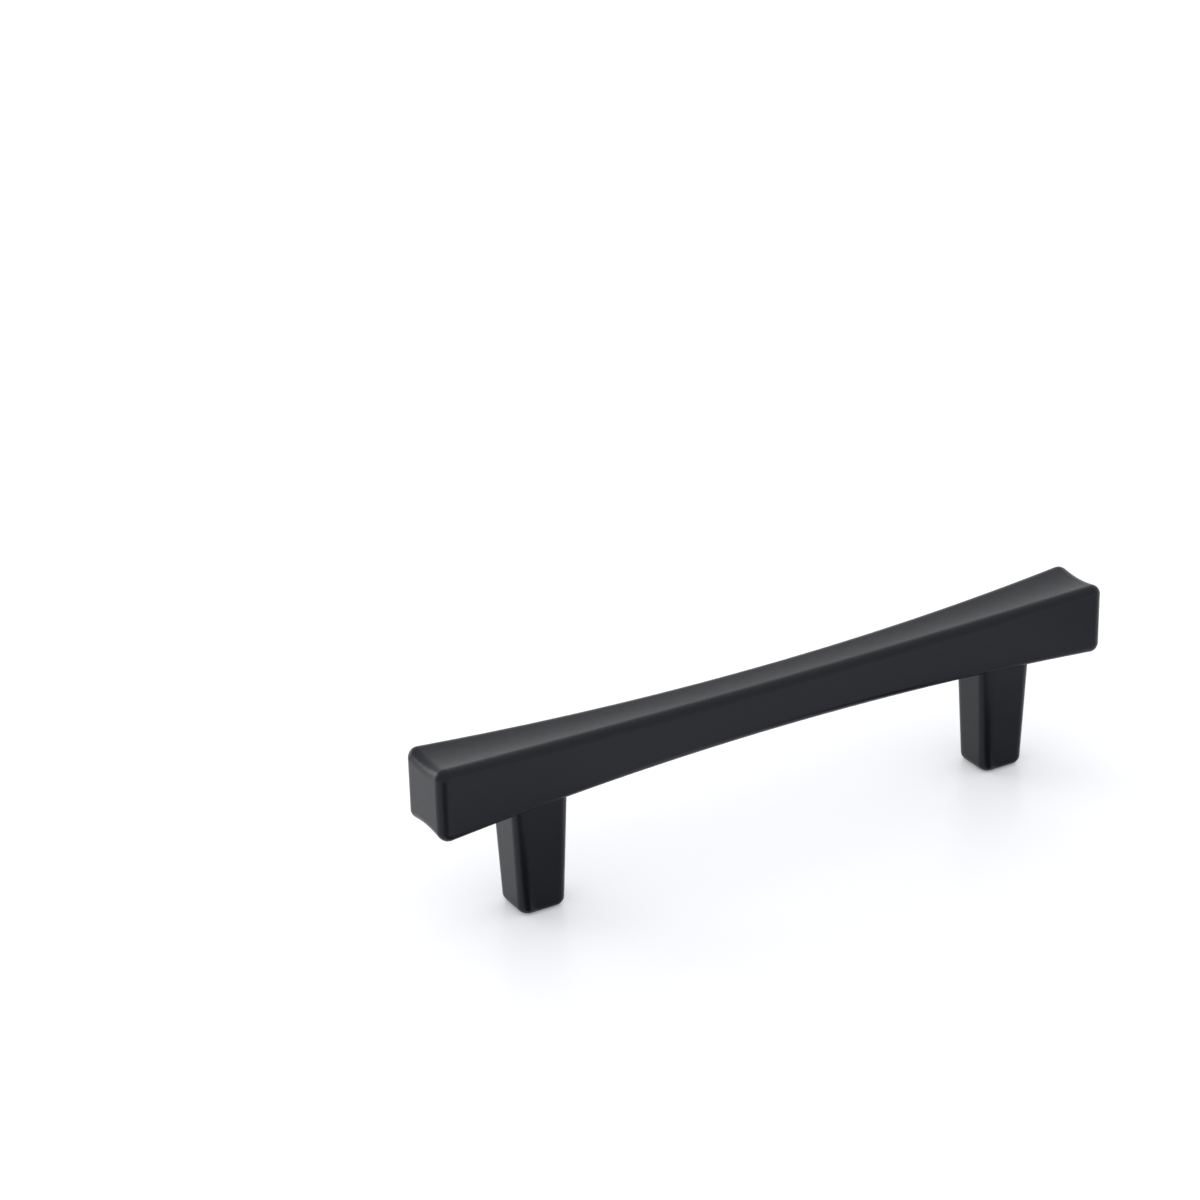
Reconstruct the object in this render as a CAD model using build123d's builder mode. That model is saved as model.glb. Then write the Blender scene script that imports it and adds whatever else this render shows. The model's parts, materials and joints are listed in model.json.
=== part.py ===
"""A cabinet pull cast in one piece of zinc alloy: a hollow-sided bar on two tapered posts.

X runs along the bar, +Z points away from the cabinet's face, and all sizes are in
millimetres. The origin lies on the mounting face, midway between the two screw holes.
"""
import math
import os

from build123d import *

# Bar: nearly square in section, thick at both ends and slim at the waist. Heights are
# taken at the middle of its top and underside, which are dished from front to back.
bar_length = 135.9
bar_end_depth = 12.9
bar_waist_depth = 8.45
bar_end_height = 12.4
bar_waist_height = 8.85
bar_centre_height = 26.0
dish_radius = 23.0
bar_edge_radius = 1.5
bar_end_radius = 1.85

# Posts: square columns with rounded corners, slimmer at the foot than under the bar,
# and set in a little from the bar's front and back.
hole_centres = 96.0
foot_width = 8.75
foot_depth = 8.6
post_top_width = 10.55
post_inset = 0.55
post_corner_radius = 2.0
foot_edge_radius = 1.6

# Blind tapped hole for an M4 screw in each foot. The bore is as wide as the thread's
# outer diameter. Past it runs the rest of the narrower tapping drill, with its cone.
thread_diameter = 4.0
thread_depth = 10.0
mouth_diameter = 4.4
drill_diameter = 3.3
drill_depth = 12.0
drill_point_angle = 118.0

# Each side of the bar curves in by the same share of the way as its length runs to the
# waist, squared, which gives the bar's size where a post meets it.
post_x = hole_centres / 2
post_share = (post_x / (bar_length / 2)) ** 2
bar_depth_at_post = bar_waist_depth + (bar_end_depth - bar_waist_depth) * post_share
bar_height_at_post = bar_waist_height + (bar_end_height - bar_waist_height) * post_share
post_height = bar_centre_height - bar_height_at_post / 2
post_top_depth = bar_depth_at_post - 2 * post_inset


def dish_rise(distance):
    """How far the dished top rises from its middle line to a distance from it."""
    return dish_radius - math.sqrt(dish_radius**2 - distance**2)


def at_bar_middle(foot_size, top_size):
    """A post's width or depth where its straight taper reaches the bar's middle."""
    return foot_size + (top_size - foot_size) * bar_centre_height / post_height


with BuildPart() as post:
    # The front outline gives the taper in width, the side outline the one in depth.
    middle_width = at_bar_middle(foot_width, post_top_width)
    middle_depth = at_bar_middle(foot_depth, post_top_depth)
    with BuildSketch(Plane.XZ):
        Polygon(
            (-foot_width / 2, 0),
            (foot_width / 2, 0),
            (middle_width / 2, bar_centre_height),
            (-middle_width / 2, bar_centre_height),
            align=None,
        )
    extrude(amount=middle_depth, both=True)
    with BuildSketch(Plane.YZ):
        Polygon(
            (-foot_depth / 2, 0),
            (foot_depth / 2, 0),
            (middle_depth / 2, bar_centre_height),
            (-middle_depth / 2, bar_centre_height),
            align=None,
        )
    extrude(amount=middle_width, both=True, mode=Mode.INTERSECT)
    upright_edges = edges().group_by(Axis.Z)[1]
    fillet(upright_edges, post_corner_radius)
    sole = faces().sort_by(Axis.Z)[0]
    fillet(sole.edges(), foot_edge_radius)

    # Half of the screw hole's section, turned about the screw's axis.
    mouth_depth = (mouth_diameter - thread_diameter) / 2
    run_out = thread_depth + (thread_diameter - drill_diameter) / 2
    drill_tip = drill_diameter / 2 / math.tan(math.radians(drill_point_angle / 2))
    with BuildSketch(Plane.XZ):
        Polygon(
            (0, 0),
            (mouth_diameter / 2, 0),
            (thread_diameter / 2, mouth_depth),
            (thread_diameter / 2, thread_depth),
            (drill_diameter / 2, run_out),
            (drill_diameter / 2, drill_depth),
            (0, drill_depth + drill_tip),
            align=None,
        )
    revolve(axis=Axis.Z, mode=Mode.SUBTRACT)

with BuildPart() as pull_body:
    # The bar runs smoothly through three sections: end, waist and end.
    sections = [
        (-bar_length / 2, bar_end_depth, bar_end_height),
        (0, bar_waist_depth, bar_waist_height),
        (bar_length / 2, bar_end_depth, bar_end_height),
    ]
    for x, depth, height in sections:
        side_y = depth / 2
        middle_z = height / 2
        corner_z = middle_z + dish_rise(side_y)
        with BuildSketch(Plane((x, 0, bar_centre_height), x_dir=(0, 1, 0), z_dir=(1, 0, 0))) as section:
            with BuildLine():
                top = ThreePointArc((-side_y, corner_z), (0, middle_z), (side_y, corner_z))
                bottom = ThreePointArc((-side_y, -corner_z), (0, -middle_z), (side_y, -corner_z))
                Line(top @ 0, bottom @ 0)
                Line(top @ 1, bottom @ 1)
            make_face()
            fillet(section.vertices(), bar_edge_radius)
    loft()
    end_faces = faces().filter_by(GeomType.PLANE)
    fillet(end_faces.edges(), bar_end_radius)

    with Locations((-post_x, 0, 0), (post_x, 0, 0)):
        add(post.part)

pull_body.part.label = "pull_body"

os.makedirs("parts", exist_ok=True)
export_step(pull_body.part, "parts/pull_body.step")
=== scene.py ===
"""Looks for a cabinet pull: a black coated casting on a white table, in soft light.

X runs along the pull's bar, its front faces -Y and its feet stand on the table at z = 0.
"""
import json
import math

import bpy
from mathutils import Matrix, Vector


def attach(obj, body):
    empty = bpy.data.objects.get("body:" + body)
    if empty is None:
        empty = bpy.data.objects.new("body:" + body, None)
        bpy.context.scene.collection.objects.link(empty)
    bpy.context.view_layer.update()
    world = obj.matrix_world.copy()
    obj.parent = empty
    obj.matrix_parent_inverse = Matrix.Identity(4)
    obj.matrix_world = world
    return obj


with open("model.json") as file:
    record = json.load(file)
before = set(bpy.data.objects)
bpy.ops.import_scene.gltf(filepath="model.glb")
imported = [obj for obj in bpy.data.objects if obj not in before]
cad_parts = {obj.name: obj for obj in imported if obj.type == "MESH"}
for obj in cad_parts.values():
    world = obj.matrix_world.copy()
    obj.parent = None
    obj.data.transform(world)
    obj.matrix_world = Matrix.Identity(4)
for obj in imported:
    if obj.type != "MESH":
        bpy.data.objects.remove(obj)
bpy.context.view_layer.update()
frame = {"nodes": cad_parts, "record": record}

MM = 0.001

# The picture: square, with the camera set up from where the pull's origin falls in it.
# Angles are in degrees, and the sensor's width is in millimetres, as Blender takes it.
picture_size = 1200.0
sensor_width = 36.0
focal_pixels = 3373.9
origin_distance = 597.38 * MM
origin_pixel_across = 770.02
origin_pixel_down = 828.34
view_azimuth = -29.66
view_elevation = 24.589
view_roll = -1.561
nearest_seen = 10 * MM
farthest_seen = 50000 * MM

# Where the record places its mounts along the pull, the screw holes among them.
mount_x = {mount["name"]: mount["pos_m"][0] for mount in frame["record"]["mounts"]}

# The M4 thread in the holes. Its ridge is sunk a little into the wall, so that no gap shows
# behind it, and its height and widths are the standard's shares of its pitch.
thread_diameter = 4.0 * MM
thread_pitch = 0.7 * MM
thread_start = 0.2 * MM
thread_end = 9.8 * MM
thread_sunk = 0.02 * MM
thread_height_share = 1.0825 / 2
width_share_at_wall = 7 / 8
width_share_at_crest = 1 / 4
steps_per_turn = 48

# The table is far wider than the view. It lies a hair under the feet, because two faces in one
# place come out speckled, and the sheets of painted reflected shade lie just above it.
table_reach = 4000 * MM
table_top = -0.02 * MM
reflected_shade_height = 0.1 * MM

# A lamp faces about the middle of the pull.
lamp_target = Vector((0, 0, 20 * MM))


def linear(hex_colour):
    """An sRGB hex colour as the linear values that Blender's sockets take."""
    colour = []
    for first in (1, 3, 5):
        channel = int(hex_colour[first:first + 2], 16) / 255
        if channel <= 0.04045:
            colour.append(channel / 12.92)
        else:
            colour.append(((channel + 0.055) / 1.055) ** 2.4)
    return colour + [1.0]


def node(tree, kind, settings=None, **inputs):
    """Adds a node. An input, named or as _ and its number, takes a value or another's output."""
    new = tree.nodes.new(kind)
    for name, value in (settings or {}).items():
        setattr(new, name, value)
    for name, value in inputs.items():
        socket = new.inputs[int(name[1:]) if name[1:].isdigit() else name.replace("_", " ")]
        if isinstance(value, bpy.types.NodeSocket):
            tree.links.new(value, socket)
        else:
            socket.default_value = value
    return new


def new_material(name):
    """An empty material, and the tree that its nodes go into."""
    material = bpy.data.materials.new(name)
    material.use_nodes = True
    material.node_tree.nodes.clear()
    return material, material.node_tree


def black_powder_coat():
    """Matte black powder coat: plastic powder, baked on over a cast and tumbled surface.

    It levels into very low swells a couple of millimetres wide with a fine grain on them, so
    highlights are broad, soft and a little uneven. The real grain of about 0.15 mm is finer
    than a pixel, and is drawn coarser to show. Such plastic has an IOR near 1.5 and a
    roughness near 0.5. This coat's shine is fainter and the glints on its edges are
    narrower, which lower values give.
    """
    material, tree = new_material("black_powder_coat")
    place = node(tree, "ShaderNodeTexCoord").outputs["Object"]
    swell_width = 1.8 * MM
    grain_width = 0.28 * MM
    swells = node(tree, "ShaderNodeTexNoise", Vector=place, Scale=1 / swell_width, Detail=1.0)
    grain = node(tree, "ShaderNodeTexNoise", Vector=place, Scale=1 / grain_width, Detail=2.0)
    low = node(tree, "ShaderNodeBump", Height=swells.outputs["Fac"], Strength=0.25,
               Distance=0.02 * MM)
    fine = node(tree, "ShaderNodeBump", Height=grain.outputs["Fac"], Strength=0.3,
                Distance=0.01 * MM, Normal=low.outputs["Normal"])
    # The noise runs mostly from 0.3 to 0.7, and its high spots are the rougher ones.
    rough = node(tree, "ShaderNodeMapRange", Value=grain.outputs["Fac"],
                 From_Min=0.3, From_Max=0.7, To_Min=0.28, To_Max=0.36)
    shade = node(tree, "ShaderNodeMix", {"data_type": "RGBA"}, Factor=swells.outputs["Fac"],
                 _6=linear("#0c0e14"), _7=linear("#101219"))
    coat = node(tree, "ShaderNodeBsdfPrincipled", Base_Color=shade.outputs[2],
                Roughness=rough.outputs["Result"], IOR=1.33, Normal=fine.outputs["Normal"])
    node(tree, "ShaderNodeOutputMaterial", Surface=coat.outputs["BSDF"])
    return material


def white_acrylic_table():
    """White acrylic sheet, cast and rubbed to a satin finish, faintly cloudy in colour.

    It shows a faint, blurred mirror image of what stands on it. Acrylic's IOR is 1.49, and a
    lower one matches so faint an image.
    """
    material, tree = new_material("white_acrylic")
    place = node(tree, "ShaderNodeTexCoord").outputs["Object"]
    cloud_width = 250 * MM
    cloud = node(tree, "ShaderNodeTexNoise", Vector=place, Scale=1 / cloud_width, Detail=1.0)
    shade = node(tree, "ShaderNodeMix", {"data_type": "RGBA"}, Factor=cloud.outputs["Fac"],
                 _6=linear("#f8f8fa"), _7=linear("#fafafc"))
    sheet = node(tree, "ShaderNodeBsdfPrincipled", Base_Color=shade.outputs[2],
                 Roughness=0.25, IOR=1.3)
    # Where it is seen, itself or in a shiny or clear surface, this share of white is added,
    # which the light alone leaves it short of.
    missing_white = 0.19
    path = node(tree, "ShaderNodeLightPath")
    mirrored = node(tree, "ShaderNodeMath", {"operation": "MAXIMUM"},
                    _0=path.outputs["Is Camera Ray"], _1=path.outputs["Is Glossy Ray"])
    seen = node(tree, "ShaderNodeMath", {"operation": "MAXIMUM"},
                _0=mirrored.outputs[0], _1=path.outputs["Is Transmission Ray"])
    lift = node(tree, "ShaderNodeMath", {"operation": "MULTIPLY"},
                _0=seen.outputs[0], _1=missing_white)
    glow = node(tree, "ShaderNodeEmission", Strength=lift.outputs[0])
    both = node(tree, "ShaderNodeAddShader", _0=sheet.outputs["BSDF"], _1=glow.outputs[0])
    node(tree, "ShaderNodeOutputMaterial", Surface=both.outputs[0])
    return material


def reflected_shade_material(name, colour):
    """A grey sheet with no shine, as painted shade: it stands in for darker surroundings and is
    seen only in the coat's reflections.

    It shows from above only, or the table would mirror it.
    """
    material, tree = new_material(name)
    top = node(tree, "ShaderNodeBsdfDiffuse", Color=linear(colour))
    clear = node(tree, "ShaderNodeBsdfTransparent")
    below = node(tree, "ShaderNodeNewGeometry").outputs["Backfacing"]
    sheet = node(tree, "ShaderNodeMixShader", _0=below, _1=top.outputs[0], _2=clear.outputs[0])
    node(tree, "ShaderNodeOutputMaterial", Surface=sheet.outputs[0])
    return material


def mesh_object(name, points, faces, material):
    """A mesh in the scene, made of one material."""
    mesh = bpy.data.meshes.new(name)
    mesh.from_pydata(points, [], faces)
    mesh.materials.append(material)
    thing = bpy.data.objects.new(name, mesh)
    bpy.context.scene.collection.objects.link(thing)
    return thing


def screw_thread(name, middle_x, material):
    """The ridge of a right-hand metric thread, wound up the wall of its hole."""
    steps = round((thread_end - thread_start) / thread_pitch * steps_per_turn)
    wall = thread_diameter / 2 + thread_sunk
    crest = thread_diameter / 2 - thread_height_share * thread_pitch
    half_at_wall = width_share_at_wall / 2 * thread_pitch
    half_at_crest = width_share_at_crest / 2 * thread_pitch
    quarter_turn = steps_per_turn / 4
    points = []
    faces = []
    for step in range(steps + 1):
        angle = step / steps_per_turn * 2 * math.pi
        height = thread_start + step / steps_per_turn * thread_pitch
        # The first and last quarter turn grow out of the wall.
        ease = min(1.0, step / quarter_turn, (steps - step) / quarter_turn)
        top = wall + (crest - wall) * ease
        section = [
            (wall, -half_at_wall),
            (top, -half_at_crest),
            (top, half_at_crest),
            (wall, half_at_wall),
        ]
        for radius, rise in section:
            x = middle_x + radius * math.cos(angle)
            y = radius * math.sin(angle)
            points.append((x, y, height + rise * ease))
        if step:
            corners = len(section)
            first = corners * (step - 1)
            for i in range(corners):
                j = (i + 1) % corners
                faces.append((first + i, first + j, first + corners + j, first + corners + i))
    return mesh_object(name, points, faces, material)


def bearing(azimuth, elevation):
    """A direction, with azimuth 0 towards the front of the pull and 90 to its right."""
    turn = math.radians(azimuth)
    rise = math.radians(elevation)
    return Vector((
        math.sin(turn) * math.cos(rise),
        -math.cos(turn) * math.cos(rise),
        math.sin(rise),
    ))


def pale_room():
    """A room with pale walls: nearly even light, least from the left in front."""
    room = bpy.data.worlds.new("pale_room")
    room.use_nodes = True
    tree = room.node_tree
    tree.nodes.clear()
    toward = node(tree, "ShaderNodeTexCoord").outputs["Generated"]
    facing = node(tree, "ShaderNodeVectorMath", {"operation": "DOT_PRODUCT"},
                  _0=toward, _1=bearing(140, 0))
    glow = node(tree, "ShaderNodeMapRange", {"interpolation_type": "SMOOTHSTEP"},
                Value=facing.outputs["Value"],
                From_Min=-0.7, From_Max=1.0, To_Min=0.92, To_Max=1.1)
    ambient = node(tree, "ShaderNodeBackground", Color=linear("#f8f9fc"),
                   Strength=glow.outputs["Result"])
    node(tree, "ShaderNodeOutputWorld", Surface=ambient.outputs[0])
    return room


def soft_box(name, toward, distance, width, height, watts):
    """A white rectangular studio lamp, off in one direction and turned to face the pull."""
    lamp = bpy.data.lights.new(name, "AREA")
    lamp.shape = "RECTANGLE"
    lamp.size = width
    lamp.size_y = height
    lamp.energy = watts
    thing = bpy.data.objects.new(name, lamp)
    bpy.context.scene.collection.objects.link(thing)
    thing.location = lamp_target + toward * distance
    thing.rotation_euler = toward.to_track_quat("Z", "Y").to_euler()


def reflected_shade_sheet(name, corners, material):
    """A sheet of painted shade on the table, by its corners in millimetres, seen only in the
    coat.
    """
    points = [(x * MM, y * MM, reflected_shade_height) for x, y in corners]
    sheet = mesh_object(name, points, [(0, 1, 2, 3)], material)
    # Seen only in reflections, where it paints shade into the coat.
    sheet.visible_camera = False
    sheet.visible_diffuse = False
    sheet.visible_shadow = False


coat = black_powder_coat()
for part in frame["nodes"].values():
    for slot in part.material_slots:
        slot.material = coat

for side in ("left", "right"):
    thread = screw_thread(side + "_screw_thread", mount_x[side + "_screw_hole"], coat)
    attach(thread, "root")

table_corners = [
    (-table_reach, -table_reach, table_top),
    (table_reach, -table_reach, table_top),
    (table_reach, table_reach, table_top),
    (-table_reach, table_reach, table_top),
]
table = mesh_object("table", table_corners, [(0, 1, 2, 3)], white_acrylic_table())

bpy.context.scene.world = pale_room()
soft_box("low_back_left", bearing(-148, 12), distance=0.9, width=0.5, height=0.3, watts=1.2)

# Painted shade: sheets lie where the coat mirrors the table, seen only in its reflections. Dark
# ones darken the upright edges, and pale ones the fronts of the posts and the bar's far end.
dark_reflected_shade = reflected_shade_material("dark_reflected_shade", "#5c5c60")
pale_reflected_shade = reflected_shade_material("pale_reflected_shade", "#d6d6da")
reflected_shade_sheet("end_reflected_shade", [(-139, -61), (-76, -96), (-71, -41), (-96, -27)], dark_reflected_shade)
reflected_shade_sheet("far_reflected_shade", [(86, -80), (132, -80), (132, -34), (86, -34)], pale_reflected_shade)
for side in ("left", "right"):
    foot = mount_x[side + "_screw_hole"] / MM
    edge = [(foot - 48, -24), (foot - 46, -28), (foot - 1, -28), (foot - 3, -4)]
    front = [(foot - 1, -40), (foot + 28, -40), (foot + 28, -4), (foot - 1, -4)]
    reflected_shade_sheet(side + "_edge_reflected_shade", edge, dark_reflected_shade)
    reflected_shade_sheet(side + "_front_reflected_shade", front, pale_reflected_shade)

# The camera looks along its bearing, rolls a little and then moves sideways, which brings the
# pull's origin to its place in the picture.
azimuth = math.radians(view_azimuth)
roll = math.radians(view_roll)
back = bearing(view_azimuth, view_elevation)
level_right = Vector((math.cos(azimuth), math.sin(azimuth), 0))
level_up = back.cross(level_right)
right = level_right * math.cos(roll) + level_up * math.sin(roll)
up = level_up * math.cos(roll) - level_right * math.sin(roll)
across = (origin_pixel_across - picture_size / 2) / focal_pixels * origin_distance
down = (origin_pixel_down - picture_size / 2) / focal_pixels * origin_distance
place = back * origin_distance - right * across + up * down
lens = bpy.data.cameras.new("camera")
lens.sensor_width = sensor_width
lens.lens = focal_pixels / picture_size * sensor_width
lens.clip_start = nearest_seen
lens.clip_end = farthest_seen
camera = bpy.data.objects.new("camera", lens)
camera.matrix_world = Matrix.Translation(place) @ Matrix((right, up, back)).transposed().to_4x4()
bpy.context.scene.collection.objects.link(camera)
bpy.context.scene.camera = camera

bpy.context.scene.view_settings.view_transform = "Standard"
